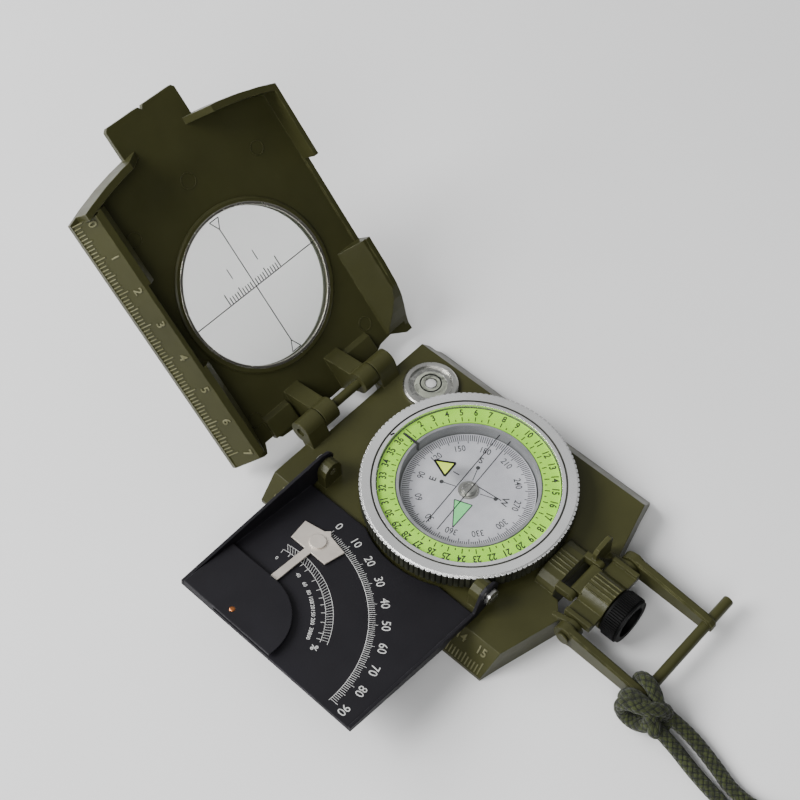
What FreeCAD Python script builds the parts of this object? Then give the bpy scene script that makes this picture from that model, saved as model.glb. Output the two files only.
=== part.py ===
import FreeCAD, Part
import math
import os

import Sketcher
from FreeCAD import Placement, Rotation, Vector

# Sighting compass, in millimetres. The origin is on the floor under the middle of the bezel,
# +Y points to the lid hinge and +Z is up. The lid stands open and the gradient tray is out.
# Lid pieces are drawn in lid axes (X, S along the plate, T towards the inside of the lid) and
# tray pieces in tray axes (X towards the bezel, Y, W up from the plate).

DIMS = {
    "base_half_top": 28.0,
    "base_half_foot": 33.4,
    "base_top": 8.0,
    "base_lip": 1.2,
    "base_rear": 41.0,
    "collar_radius": 24.3,
    "collar_top": 9.7,
    "capsule_bore": 20.8,
    "capsule_radius": 20.5,
    "capsule_inner": 17.5,
    "cover_half": 29.5,
    "cover_front": -30.0,
    "cover_rear": 37.0,
    "bottom_screw_radius": 1.0,
    "hinge_y": 43.1,
    "hinge_z": 11.0,
    "knuckle_radius": 3.2,
    "hinge_pin_radius": 1.25,
    "base_pin_bore": 1.26,
    "lid_pin_bore": 1.30,
    "bezel_top": 15.0,
    "bezel_foot": 10.0,
    "bezel_bore": 20.55,
    "bezel_radius": 27.5,
    "knurl_depth": 0.45,
    "glass_seat": 23.25,
    "glass_radius": 23.15,
    "green_inner": 18.5,
    "card_radius": 17.1,
    "card_level": 10.3,
    "post_radius": 0.75,
    "cap_bore": 0.8,
    "cap_radius": 1.9,
    "vial_x": 19.0,
    "vial_y": 29.8,
    "vial_radius": 7.4,
    "vial_well": 5.05,
    "hump_front": -33.5,
    "hump_rear": -27.9,
    "fin_front": -36.4,
    "fin_rear": -35.2,
    "fold_y": -37.4,
    "fold_z": 10.2,
    "fold_pin_radius": 0.6,
    "fold_pin_bore": 0.65,
    "sight_z": 7.05,
    "barrel_radius": 5.9,
    "barrel_bore": 3.6,
    "barrel_rear": -39.1,
    "barrel_front": -46.5,
    "sleeve_radius": 3.55,
    "knob_radius": 6.3,
    "knob_rear": -47.0,
    "knob_front": -51.9,
    "ring_y": -42.6,
    "ring_z": 7.6,
    "ring_pin_radius": 1.2,
    "ring_pin_bore": 1.25,
    "crossbar_radius": 1.4,
    "tray_x": -20.0,
    "tray_z": 12.8,
    "tray_top": -4.3,
    "tray_under": -5.1,
    "tray_near": -4.3,
    "tray_far": -47.7,
    "tray_front": -24.0,
    "tray_rear": 31.6,
    "tray_screw_radius": 1.0,
    "tray_screw_bore": 1.05,
    "rivet_x": -45.1,
    "rivet_y": 16.9,
    "rivet_radius": 0.75,
    "pendulum_bore": 0.8,
    "sector_x": -45.9,
    "sector_y": 16.0,
    "sector_radius": 14.0,
    "lid_outer": -10.9,
    "lid_plate": -9.2,
    "lid_rim": -2.8,
    "window_s": 35.5,
    "window_clear": 20.9,
    "window_seat": 22.0,
    "window_ring_outer": 23.0,
    "cord_radius": 1.7,
}

LID_OPEN = 46.65
TRAY_TILT = 8.0
WORLD = Placement()
LID = Placement(Vector(0, DIMS["hinge_y"], DIMS["hinge_z"]), Rotation(Vector(1, 0, 0), LID_OPEN))
TRAY = Placement(Vector(DIMS["tray_x"], 0, DIMS["tray_z"]), Rotation(Vector(0, 1, 0), TRAY_TILT))

doc = FreeCAD.newDocument("SightingCompass")
sheet = doc.addObject("Spreadsheet::Sheet", "dims")
for row, (alias, value) in enumerate(DIMS.items(), 1):
    sheet.set(f"A{row}", alias)
    sheet.set(f"B{row}", str(value))
    sheet.setAlias(f"B{row}", alias)
doc.recompute()

nodes = {}
counter = {"sketch": 0}


def num(value):
    """Value of a plain number, of an alias, or of an alias with a minus sign."""
    if isinstance(value, str):
        return -DIMS[value[1:]] if value.startswith("-") else DIMS[value]
    return float(value)


def formula(value):
    """Expression that reads the alias from the sheet."""
    return f"-dims.{value[1:]}" if value.startswith("-") else f"dims.{value}"


def new_body(label, frame=WORLD):
    """Empty body that becomes the node called label, drawn in the given frame."""
    body = doc.addObject("PartDesign::Body", label)
    body.Label = label
    body.Placement = frame
    body.AllowCompound = True
    nodes[label] = body
    return body


def plane_of(body, role):
    """Origin plane of a body, found by its role."""
    return next(item for item in body.Origin.OriginFeatures if item.Role == role)


def new_sketch(body, plane, level):
    """Sketch on an origin plane of the body, moved along X, Y or Z to the given level."""
    counter["sketch"] += 1
    sketch = body.newObject("Sketcher::SketchObject", f"sketch{counter['sketch']}")
    sketch.AttachmentSupport = [(plane_of(body, f"{plane}_Plane"), "")]
    sketch.MapMode = "FlatFace"
    side = -1 if plane == "XZ" else 1
    sketch.AttachmentOffset = Placement(Vector(0, 0, side * num(level)), Rotation())
    if isinstance(level, str):
        sign = "-" if side < 0 else ""
        sketch.setExpression("AttachmentOffset.Base.z", f"{sign}({formula(level)})")
    return sketch


def pin_down(sketch, kind, line, value, point=1):
    """Fix one coordinate of a point, bound to the sheet when the value is an alias."""
    index = sketch.addConstraint(Sketcher.Constraint(kind, -1, 1, line, point, num(value)))
    if isinstance(value, str):
        sketch.setExpression(f"Constraints[{index}]", formula(value))


def draw(sketch, outline):
    """Closed outline from corner points, or a circle written as (x, y, radius)."""
    if isinstance(outline, tuple):
        x, y, radius = outline
        circle = Part.Circle(Vector(num(x), num(y), 0), Vector(0, 0, 1), num(radius))
        line = sketch.addGeometry(circle)
        pin_down(sketch, "DistanceX", line, x, 3)
        pin_down(sketch, "DistanceY", line, y, 3)
        index = sketch.addConstraint(Sketcher.Constraint("Radius", line, num(radius)))
        if isinstance(radius, str):
            sketch.setExpression(f"Constraints[{index}]", formula(radius))
        return
    corners = [Vector(num(a), num(b), 0) for a, b in outline]
    count = len(corners)
    for i in range(count):
        sketch.addGeometry(Part.LineSegment(corners[i], corners[(i + 1) % count]))
    for i in range(count):
        sketch.addConstraint(Sketcher.Constraint("Coincident", i, 2, (i + 1) % count, 1))
    for i, (a, b) in enumerate(outline):
        pin_down(sketch, "DistanceX", i, a)
        pin_down(sketch, "DistanceY", i, b)


def pad(body, plane, outline, low, high):
    """Add a prism between two levels along the plane's normal."""
    start = high if plane == "XZ" else low
    sketch = new_sketch(body, plane, start)
    draw(sketch, outline)
    feature = body.newObject("PartDesign::Pad", f"pad{counter['sketch']}")
    feature.Profile = sketch
    feature.Length = num(high) - num(low)
    bind_span(feature, low, high)
    doc.recompute()


def pocket(body, plane, outline, low, high):
    """Remove a prism between two levels along the plane's normal."""
    start = low if plane == "XZ" else high
    sketch = new_sketch(body, plane, start)
    draw(sketch, outline)
    feature = body.newObject("PartDesign::Pocket", f"pocket{counter['sketch']}")
    feature.Profile = sketch
    feature.Length = num(high) - num(low)
    bind_span(feature, low, high)
    doc.recompute()


def bind_span(feature, low, high):
    """Bind the length of a pad or pocket when one of its two levels is an alias."""
    if isinstance(low, str) or isinstance(high, str):
        upper = formula(high) if isinstance(high, str) else str(high)
        lower = formula(low) if isinstance(low, str) else str(low)
        feature.setExpression("Length", f"({upper}) - ({lower})")


def lathe(label, outline, frame=WORLD):
    """Body turned about the Z axis of its frame from an outline of (radius, height)."""
    body = new_body(label, frame)
    sketch = new_sketch(body, "XZ", 0)
    draw(sketch, outline)
    turn = body.newObject("PartDesign::Revolution", f"turn{counter['sketch']}")
    turn.Profile = sketch
    turn.ReferenceAxis = (sketch, ["V_Axis"])
    turn.Angle = 360
    doc.recompute()
    return body


def mirrored(points):
    """The same outline on the other side of X = 0."""
    flip = []
    for a, b in points:
        if isinstance(a, str):
            flip.append((a[1:] if a.startswith("-") else f"-{a}", b))
        else:
            flip.append((-a, b))
    return flip


def arc_points(cx, cy, radius, start, end, steps):
    """Points along an arc, angles in degrees."""
    points = []
    for i in range(steps + 1):
        angle = math.radians(start + (end - start) * i / steps)
        points.append((cx + radius * math.cos(angle), cy + radius * math.sin(angle)))
    return points


def toothed(body, low, high, outer, depth, count):
    """Knurled wheel added to a body: one V groove cut in a disc and repeated round it."""
    sketch = new_sketch(body, "XY", low)
    draw(sketch, (0, 0, outer))
    disc = body.newObject("PartDesign::Pad", f"pad{counter['sketch']}")
    disc.Profile = sketch
    disc.Length = num(high) - num(low)
    doc.recompute()
    radius = num(outer)
    half = 0.42 * math.pi * radius / count
    groove = [(radius + 0.1, -half - 0.05), (radius + 0.1, half + 0.05), (radius - num(depth), 0.0)]
    sketch = new_sketch(body, "XY", high)
    draw(sketch, groove)
    cut = body.newObject("PartDesign::Pocket", f"pocket{counter['sketch']}")
    cut.Profile = sketch
    cut.Length = num(high) - num(low)
    doc.recompute()
    ring = body.newObject("PartDesign::PolarPattern", f"pattern{counter['sketch']}")
    ring.Originals = [cut]
    ring.Axis = (sketch, ["N_Axis"])
    ring.Angle = 360
    ring.Occurrences = count
    body.Tip = ring
    doc.recompute()


def ridges(body, centre_z, radius, low, high):
    """Five fine grip ridges along Y, on a back that is flat (radius 0) or round about centre_z."""
    for order in range(-2, 3):
        x = 1.25 * order
        crest = centre_z + (math.sqrt(radius ** 2 - x * x) if radius else 0.0)
        pad(body, "XZ", [(x - 0.25, crest - 0.4), (x + 0.25, crest - 0.4), (x + 0.12, crest + 0.2),
                         (x - 0.12, crest + 0.2)], low, high)


def build_base():
    """Housing, bottom cover, pins and screws that stay with the base."""
    body = new_body("base_housing")
    pad(body, "XZ", [("-base_half_top", "base_top"), ("-base_half_foot", "base_lip"),
                     ("-base_half_foot", 0), ("base_half_foot", 0),
                     ("base_half_foot", "base_lip"), ("base_half_top", "base_top")],
        -39.0, "base_rear")
    front = [(7.6, -33.6), (7.6, -35.4), (11.7, -38.9), (28.0, -34.5), (33.4, -33.2), (40.0, -33.2)]
    outside = front + [(40.0, -45.0), (-40.0, -45.0)] + mirrored(front)[::-1]
    pocket(body, "XY", outside, -1.0, 9.0)
    pocket(body, "XY", [(-10.0, 39.5), (10.0, 39.5), (10.0, 45.0), (-10.0, 45.0)], -1.0, 9.0)
    pocket(body, "XY", [(31.2, 38.6), (40.0, 38.6), (40.0, 45.0), (31.2, 45.0)], -1.0, 9.0)
    pad(body, "XY", (0, 0, "collar_radius"), 7.5, "collar_top")
    pocket(body, "XY", (0, 0, "capsule_bore"), 2.4, 12.0)
    pocket(body, "XY", ("vial_x", "vial_y", "vial_well"), 4.0, 9.0)
    pocket(body, "XY", [(-29.55, -30.05), (29.55, -30.05), (29.55, 37.05), (-29.55, 37.05)], -1.0, 1.2)
    web = [(38.0, 7.0), (40.3, 12.6), (43.1, 11.0), (42.6, 7.9), (41.0, 5.0)]
    for low, high in ((-16.3, -10.2), (10.2, 16.3)):
        pad(body, "YZ", web, low, high)
        pad(body, "YZ", ("hinge_y", "hinge_z", "knuckle_radius"), low, high)
    pocket(body, "YZ", ("hinge_y", "hinge_z", "base_pin_bore"), -17.0, 17.0)
    hump = [(-7.3, 7.5), (-7.2, 9.0), (-6.4, 10.0), (-4.6, 10.9), (-2.4, 11.3),
            (2.4, 11.3), (4.6, 10.9), (6.4, 10.0), (7.2, 9.0), (7.3, 7.5)]
    pad(body, "XZ", hump, "hump_front", "hump_rear")
    ridges(body, 11.3, 0.0, "hump_front", "hump_rear")
    fin = [(5.3, 9.2), (8.0, 9.0), (8.0, 7.0), (11.6, 7.0), (11.6, 14.4), (10.8, 15.4), (6.2, 14.8), (5.3, 13.6)]
    pad(body, "XZ", fin, "fin_front", "fin_rear")
    clevis = [(-33.2, 8.9), (-37.4, 8.9), (-37.4, 11.5), (-33.2, 11.2)]
    boss = [(-42.6, 5.0), (-36.6, 5.0), (-36.6, 8.0), (-42.6, 10.2)]
    for side in (-1, 1):
        low, high = sorted((side * 4.6, side * 6.4))
        pad(body, "YZ", clevis, low, high)
        pad(body, "YZ", ("fold_y", "fold_z", 1.3), low, high)
        low, high = sorted((side * 10.1, side * 11.5))
        pad(body, "YZ", boss, low, high)
        pad(body, "YZ", ("ring_y", "ring_z", 2.6), low, high)
    pocket(body, "YZ", ("fold_y", "fold_z", "fold_pin_radius"), -8.0, 8.0)
    pocket(body, "YZ", ("ring_y", "ring_z", "ring_pin_radius"), -12.0, 12.0)
    lug = [(-22.9, 7.5), (-22.9, 12.9), (-22.4, 14.4), (-21.2, 15.4), (-20.0, 15.7),
           (-18.8, 15.4), (-17.6, 14.4), (-17.1, 12.9), (-17.1, 7.5)]
    for low, high in ((-22.8, -19.8), (27.8, 30.5)):
        pad(body, "XZ", lug, low, high)
    pocket(body, "XZ", ("tray_x", "tray_z", "tray_screw_radius"), -23.0, -19.0)
    pocket(body, "XZ", ("tray_x", "tray_z", "tray_screw_radius"), 27.0, 31.0)
    pocket(body, "XY", (0, 0, 27.85), "collar_top", 17.0)
    for x, y in SCREW_SPOTS:
        pocket(body, "XY", (x, y, "bottom_screw_radius"), 1.0, 3.9)

    cover = new_body("bottom_cover")
    pad(cover, "XY", [("-cover_half", "cover_front"), ("cover_half", "cover_front"),
                      ("cover_half", "cover_rear"), ("-cover_half", "cover_rear")], 0, "base_lip")
    for x, y in SCREW_SPOTS:
        pocket(cover, "XY", (x, y, 2.05), -0.5, 0.7)
        pocket(cover, "XY", (x, y, "bottom_screw_radius"), 0.5, 2.0)

    screws = new_body("bottom_screws")
    for x, y in SCREW_SPOTS:
        pad(screws, "XY", (x, y, 2.0), 0.1, 0.7)
        pad(screws, "XY", (x, y, "bottom_screw_radius"), 0.7, 3.9)
        pocket(screws, "XY", [(x - 1.5, y - 0.25), (x + 1.5, y - 0.25), (x + 1.5, y + 0.25), (x - 1.5, y + 0.25)],
               0.0, 0.35)

    pin = new_body("hinge_pin")
    pad(pin, "YZ", ("hinge_y", "hinge_z", "hinge_pin_radius"), -15.8, 15.8)

    screws = new_body("tray_screws")
    for shank, head in (((-24.1, -19.8), (-25.1, -24.1)), ((27.8, 31.7), (31.7, 32.7))):
        pad(screws, "XZ", ("tray_x", "tray_z", "tray_screw_radius"), shank[0], shank[1])
        pad(screws, "XZ", ("tray_x", "tray_z", 2.2), head[0], head[1])
    for low, high in ((-26.0, -24.7), (32.3, 34.0)):
        pocket(screws, "XZ", [(-21.6, 12.5), (-18.4, 12.5), (-18.4, 13.1), (-21.6, 13.1)], low, high)

    pin = new_body("eyepiece_pin")
    pad(pin, "YZ", ("fold_y", "fold_z", "fold_pin_radius"), -6.5, 6.5)

    pins = new_body("ring_pivot_pins")
    for side in (-1, 1):
        low, high = sorted((side * 10.1, side * 14.4))
        pad(pins, "YZ", ("ring_y", "ring_z", "ring_pin_radius"), low, high)
        low, high = sorted((side * 14.4, side * 14.9))
        pad(pins, "YZ", ("ring_y", "ring_z", 1.7), low, high)


def build_capsule():
    """Fixed capsule with its pivot and pointer, and the turning card."""
    lathe("capsule_cup", [(0, 2.4), ("capsule_radius", 2.4), ("capsule_radius", 12.9),
                          (18.2, 12.9), (18.2, 13.9), ("capsule_inner", 13.9),
                          ("capsule_inner", 3.4), (0, 3.4)])
    lathe("pivot_post", [(0, 3.4), (2.5, 3.4), (2.5, 4.4), ("post_radius", 5.0),
                         ("post_radius", 10.2), (0, 11.1)])
    pointer = new_body("lubber_pointer")
    pad(pointer, "XY", [(-0.3, 16.9), (0.3, 16.9), (0.3, 22.1), (-0.3, 22.1)], 14.0, 14.2)
    pad(pointer, "XY", [(-0.2, 16.9), (0.2, 16.9), (0.2, 17.45), (-0.2, 17.45)], 11.4, 14.1)

    disc = lathe("card_disc", [("cap_radius", "card_level"), ("card_radius", "card_level"),
                               ("card_radius", 10.6), ("cap_radius", 10.6)])
    disc.Placement = Placement(Vector(), Rotation(Vector(0, 0, 1), CARD_TURN))
    magnet = new_body("card_magnet", disc.Placement)
    pad(magnet, "XY", [(-1.8, -11.5), (1.8, -11.5), (1.8, 11.5), (-1.8, 11.5)], 9.0, "card_level")
    pad(magnet, "XY", (0, 0, 3.4), 9.0, "card_level")
    pocket(magnet, "XY", (0, 0, "cap_radius"), 8.0, 11.0)
    lathe("jewel_cap", [("cap_bore", 9.0), ("cap_radius", 9.0), ("cap_radius", 11.2),
                        (1.4, 11.8), (0, 11.8), (0, 11.3), ("cap_bore", 10.4)])


def build_bezel():
    """Turning bezel with its luminous ring and glass, set a few degrees off straight ahead."""
    frame = Placement(Vector(), Rotation(Vector(0, 0, 1), BEZEL_TURN))
    ring = new_body("bezel_ring", frame)
    toothed(ring, 10.4, 14.5, "bezel_radius", "knurl_depth", 120)
    pad(ring, "XY", (0, 0, 26.6), "bezel_foot", 10.5)
    pad(ring, "XY", (0, 0, 26.95), 14.4, "bezel_top")
    pocket(ring, "XY", (0, 0, 24.6), 14.75, 16.0)
    pad(ring, "XY", (0, 0, 24.2), 14.7, 14.95)
    pocket(ring, "XY", (0, 0, "glass_seat"), 13.2, 16.0)
    pocket(ring, "XY", (0, 0, "bezel_bore"), 9.0, 16.0)
    lathe("degree_ring", [("green_inner", 13.2), (23.2, 13.2), (23.2, 13.8), ("green_inner", 13.8)], frame)
    lathe("bezel_glass", [(0, 14.4), ("glass_radius", 14.4), ("glass_radius", 14.8), (22.9, 14.9), (0, 14.9)],
          frame)


def build_vial():
    """Round level vial at the rear right of the base."""
    spot = Placement(Vector(DIMS["vial_x"], DIMS["vial_y"], 0), Rotation())
    lathe("vial_cup", [(0, 4.1), (5.0, 4.1), (5.0, 8.0), ("vial_radius", 8.0), ("vial_radius", 8.9),
                       (7.0, 9.3), (5.9, 9.3), (5.9, 8.6), (4.4, 8.6), (4.4, 5.0), (0, 5.0)], spot)
    lathe("vial_liquid", [(0, 5.0), (4.4, 5.0), (4.4, 8.6), (0, 8.6)], spot)
    lathe("vial_glass", [(0, 8.6), (5.85, 8.6), (5.85, 9.2), (4.0, 9.4), (0, 9.5)], spot)


def lid_end(x):
    """Distance of the lid's curved free end from the hinge axis."""
    return 81.5 - (92.3 - math.sqrt(92.3 ** 2 - x * x))


def build_lid():
    """Lid shell with its window, drawn in lid axes."""
    body = new_body("lid_shell", LID)
    hinge_end = [(-32.9, 1.0), (-24.6, -1.7), (-23.4, -1.6), (-22.2, 1.0), (-19.6, 1.0),
                 (-17.3, -0.8), (-12.8, -1.2), (17.0, -1.2), (21.8, 1.1), (26.0, 1.4),
                 (30.6, -1.2), (32.7, -1.2)]
    free_end = [(x, lid_end(x)) for x in (32.7, 28.0, 22.0, 16.5, 11.0)]
    tab = [(11.0, 88.7), (10.2, 89.5), (0.8, 89.5), (0.0, 88.4), (-0.8, 89.5), (-10.8, 89.5), (-11.6, 88.7)]
    free_end_left = [(x, lid_end(x)) for x in (-11.6, -16.5, -22.0, -28.0, -32.9)]
    pad(body, "XY", hinge_end + free_end + tab + free_end_left, "lid_outer", "lid_plate")
    arc = [32.7, 28.0, 22.0, 16.0, 8.0, 0.0, -8.0, -16.0, -22.0, -28.0, -30.4]
    wall = [(x, lid_end(x)) for x in arc] + [(x, lid_end(x) - 1.9) for x in arc[::-1]]
    pad(body, "XY", wall, -9.4, "lid_rim")
    pocket(body, "XZ", [(-8.0, -9.2), (8.0, -9.2), (13.5, -2.7), (-13.5, -2.7)], 74.0, 83.0)
    wedge = [(-32.9, "lid_outer"), (-32.9, -9.9), (-28.4, "lid_rim"), (-27.2, "lid_rim"), (-27.2, "lid_outer")]
    pad(body, "XZ", wedge, 1.0, 74.8)
    inner_wall = [(-27.4, -9.4), (-27.4, "lid_rim"), (-26.4, "lid_rim"), (-24.5, -4.6), (-24.5, -9.4)]
    for low, high in ((1.5, 28.8), (53.6, 75.4)):
        pad(body, "XZ", inner_wall, low, high)
    pocket(body, "XY", [(-26.4, 1.0), (-25.4, 5.0), (-24.8, 9.5), (-24.5, 15.0), (-24.0, 15.0), (-24.0, 1.0)],
           "lid_plate", 0.0)
    gusset = [(24.8, -9.4), (31.8, -9.4), (31.8, -3.4), (30.6, -3.4), (25.4, -8.6)]
    pad(body, "XZ", gusset, 2.0, 28.3)
    wing_top = [(0.8, -9.2), (3.5, -7.9), (6.5, -6.0), (9.8, -4.3), (13.3, -3.3), (20.0, "lid_rim"), (28.3, "lid_rim")]
    skirt = [(-1.2, -10.6)] + wing_top + [(28.3, -8.4), (54.3, -8.4), (54.3, "lid_rim"), (75.4, "lid_rim"),
                                          (75.4, "lid_outer"), (-1.2, "lid_outer")]
    pad(body, "YZ", skirt, 31.4, 32.7)
    pocket(body, "YZ", wing_top[:-1] + [(20.0, 0.0), (-2.0, 0.0), (-2.0, -9.2)], 24.0, 33.0)
    knuckle_web = [(-1.2, "lid_outer"), (-2.6, -2.0), (0.0, 0.0), (3.0, -1.0), (8.6, -9.3)]
    for low, high in ((-9.9, -5.0), (5.0, 9.9)):
        pad(body, "YZ", knuckle_web, low, high)
        pad(body, "YZ", (0, 0, "knuckle_radius"), low, high)
    pocket(body, "YZ", (0, 0, "lid_pin_bore"), -11.0, 11.0)
    stop_block = [(0.4, -9.4), (0.4, -7.6), (5.6, -7.9), (6.8, -9.4)]
    for low, high in ((-19.4, -11.0), (11.0, 19.4)):
        pad(body, "YZ", stop_block, low, high)
    pocket(body, "XY", (0, "window_s", "window_seat"), -10.3, -9.0)
    pocket(body, "XY", (0, "window_s", "window_clear"), -12.0, -9.0)

    centre = LID.multiply(Placement(Vector(0, DIMS["window_s"], 0), Rotation()))
    lathe("window_glass", [(0, -10.3), (21.95, -10.3), (21.95, -9.3), (0, -9.3)], centre)
    lathe("window_ring", [("window_clear", -9.3), (21.95, -9.3), (21.95, -9.2), ("window_ring_outer", -9.2),
                          ("window_ring_outer", -8.7), (22.6, -8.4), (21.3, -8.4), ("window_clear", -8.7)],
          centre)


def build_tray():
    """Folding gradient tray with its pendulum, drawn in tray axes."""
    sheet_body = new_body("tray_sheet", TRAY)
    # The near edge is hollowed so that it swings past the bezel.
    hollow = [("tray_near", -12.0), (-5.3, -10.0), (-6.15, -8.0), (-7.15, -4.0), (-7.5, 0.0),
              (-7.15, 4.0), (-6.15, 8.0), (-5.3, 10.0), ("tray_near", 12.0)]
    pad(sheet_body, "XY", [("tray_far", "tray_front"), ("tray_near", "tray_front")] + hollow
        + [("tray_near", "tray_rear"), ("tray_far", "tray_rear")], "tray_under", "tray_top")
    ear = [(-1.5, 4.0), (1.5, 3.6), (3.0, 2.0), (3.0, -1.5), (1.0, -3.2), (-3.5, "tray_under")]
    rear = [("tray_far", "tray_under"), ("tray_far", -3.5), (-5.0, 3.4)] + ear
    pad(sheet_body, "XZ", rear, 30.8, "tray_rear")
    front = [("tray_far", "tray_under"), ("tray_far", -3.6), (-4.8, -3.0), (-3.9, 0.5), (-3.2, 3.0)] + ear
    pad(sheet_body, "XZ", front + [(-13.0, "tray_under"), (-15.5, -6.3)], "tray_front", -23.2)
    pocket(sheet_body, "XZ", (0, 0, "tray_screw_bore"), -25.0, -22.0)
    pocket(sheet_body, "XZ", (0, 0, "tray_screw_bore"), 30.0, 33.0)
    pocket(sheet_body, "XY", ("rivet_x", "rivet_y", "rivet_radius"), -6.0, -4.0)

    cover = new_body("sector_cover", TRAY)
    edge = arc_points(DIMS["sector_x"], DIMS["sector_y"], DIMS["sector_radius"], -97.3, 0.0, 12)
    straight = DIMS["sector_x"] + DIMS["sector_radius"]
    pad(cover, "XY", edge + [(straight, 30.6), ("tray_far", 30.6)], -3.3, -2.8)
    pad(cover, "XY", [("tray_far", 20.5), (-46.6, 20.5), (-46.6, 29.6), (-33.5, 29.6), (-33.5, 30.6),
                      ("tray_far", 30.6)], "tray_top", -3.2)
    pocket(cover, "XY", ("rivet_x", "rivet_y", "rivet_radius"), -4.0, -2.0)

    spot = TRAY.multiply(Placement(Vector(DIMS["rivet_x"], DIMS["rivet_y"], 0), Rotation()))
    lathe("pendulum_rivet", [(0, -5.1), ("rivet_radius", -5.1), ("rivet_radius", -2.75), (0.5, -2.6),
                             (0, -2.55)], spot)

    pendulum = new_body("pendulum", TRAY)
    head = [(-27.6, 15.9), (-19.8, 15.9), (-19.8, 11.2), (-13.9, 10.2), (-12.8, 15.8), (-11.6, 16.9),
            (-12.8, 18.0), (-13.9, 23.6), (-19.8, 22.6), (-19.8, 17.9), (-27.6, 17.9)]
    pad(pendulum, "XY", head, -4.0, -3.6)
    pad(pendulum, "XY", [(-45.1, 15.7), (-27.0, 15.9), (-27.0, 17.9), (-45.1, 18.1)], -4.0, -3.6)
    pad(pendulum, "XY", ("rivet_x", "rivet_y", 2.2), -4.0, -3.6)
    pad(pendulum, "XY", (-16.4, 16.9, 2.1), -3.8, -3.1)
    pocket(pendulum, "XY", ("rivet_x", "rivet_y", "pendulum_bore"), -5.0, -3.0)


def build_eyepiece():
    """Folding eyepiece, its focus knob and the lenses."""
    body = new_body("eyepiece_bracket")
    pad(body, "XZ", (0, "sight_z", "barrel_radius"), "barrel_front", "barrel_rear")
    ridges(body, DIMS["sight_z"], DIMS["barrel_radius"], "barrel_front", "barrel_rear")
    wings = [(-9.8, 8.6), (9.8, 8.6), (9.8, 11.0), (8.6, 11.0), (8.6, 10.0), (-8.6, 10.0), (-8.6, 11.0), (-9.8, 11.0)]
    pad(body, "XZ", wings, "barrel_front", -39.0)
    pad(body, "YZ", [(-39.4, 8.9), (-37.4, 8.9), (-37.4, 11.5), (-39.4, 11.5)], -4.3, 4.3)
    pad(body, "YZ", ("fold_y", "fold_z", 1.3), -4.3, 4.3)
    pocket(body, "YZ", ("fold_y", "fold_z", "fold_pin_bore"), -5.0, 5.0)
    pocket(body, "XZ", (0, "sight_z", "barrel_bore"), -47.0, -38.0)

    axis = Placement(Vector(0, 0, DIMS["sight_z"]), Rotation(Vector(1, 0, 0), 90))
    lathe("eyepiece_lens", [(0, 39.2), ("barrel_bore", 39.4), ("barrel_bore", 40.6), (0, 41.0)], axis)
    knob = new_body("focus_knob", axis)
    toothed(knob, 47.6, 51.2, "knob_radius", 0.35, 60)
    pad(knob, "XY", (0, 0, 5.9), 47.0, 51.9)
    pad(knob, "XY", (0, 0, "sleeve_radius"), 43.5, 47.5)
    pocket(knob, "XY", (0, 0, 2.9), 43.0, 52.0)
    pocket(knob, "XY", (0, 0, 4.3), 50.3, 52.0)
    lathe("knob_lens", [(0, 49.0), (2.9, 49.2), (2.9, 50.0), (0, 50.2)], axis)


def build_ring():
    """Thumb ring: two flat arms and the bar between them."""
    bar = [(-42.6, 10.7), (-63.6, 8.4), (-65.9, 7.9), (-67.0, 6.9), (-67.2, 5.8), (-67.0, 4.7), (-65.9, 3.7),
           (-63.6, 3.5), (-42.6, 4.5)]
    flank = [(-42.6, 10.2), (-63.6, 7.9), (-65.6, 7.5), (-66.5, 6.7), (-66.7, 5.8), (-66.5, 4.9), (-65.6, 4.2),
             (-63.6, 4.0), (-42.6, 5.0)]
    for label, side in (("ring_arm_left", -1), ("ring_arm_right", 1)):
        arm = new_body(label)
        low, high = sorted((side * 12.2, side * 13.7))
        pad(arm, "YZ", bar, low, high)
        low, high = sorted((side * 11.8, side * 14.1))
        pad(arm, "YZ", flank, low, high)
        pad(arm, "YZ", ("ring_y", "ring_z", 3.1), low, high)
        pocket(arm, "YZ", ("ring_y", "ring_z", "ring_pin_bore"), low - 1, high + 1)
        pocket(arm, "YZ", (-65.3, 5.8, "crossbar_radius"), low - 1, high + 1)
    rod = new_body("ring_crossbar")
    pad(rod, "YZ", (-65.3, 5.8, "crossbar_radius"), -15.2, 21.4)


def route_wire(points):
    """Straight runs joined by tangent arcs; the bend radii are printed."""
    edges = []
    start = points[0]
    for i in range(1, len(points) - 1):
        before = points[i] - points[i - 1]
        after = points[i + 1] - points[i]
        turn = before.getAngle(after)
        reach = 0.45 * min(before.Length, after.Length)
        radius = reach / math.tan(turn / 2)
        print("bend", i, "radius", round(radius, 1))
        entry = points[i] - before.normalize() * reach
        leave = points[i] + after.normalize() * reach
        middle = points[i] + ((entry + leave) * 0.5 - points[i]).normalize() * (
            radius / math.cos(turn / 2) - radius)
        edges.append(Part.makeLine(start, entry))
        edges.append(Part.Arc(entry, middle, leave).toShape())
        start = leave
    edges.append(Part.makeLine(start, points[-1]))
    return Part.Wire(edges)


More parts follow.
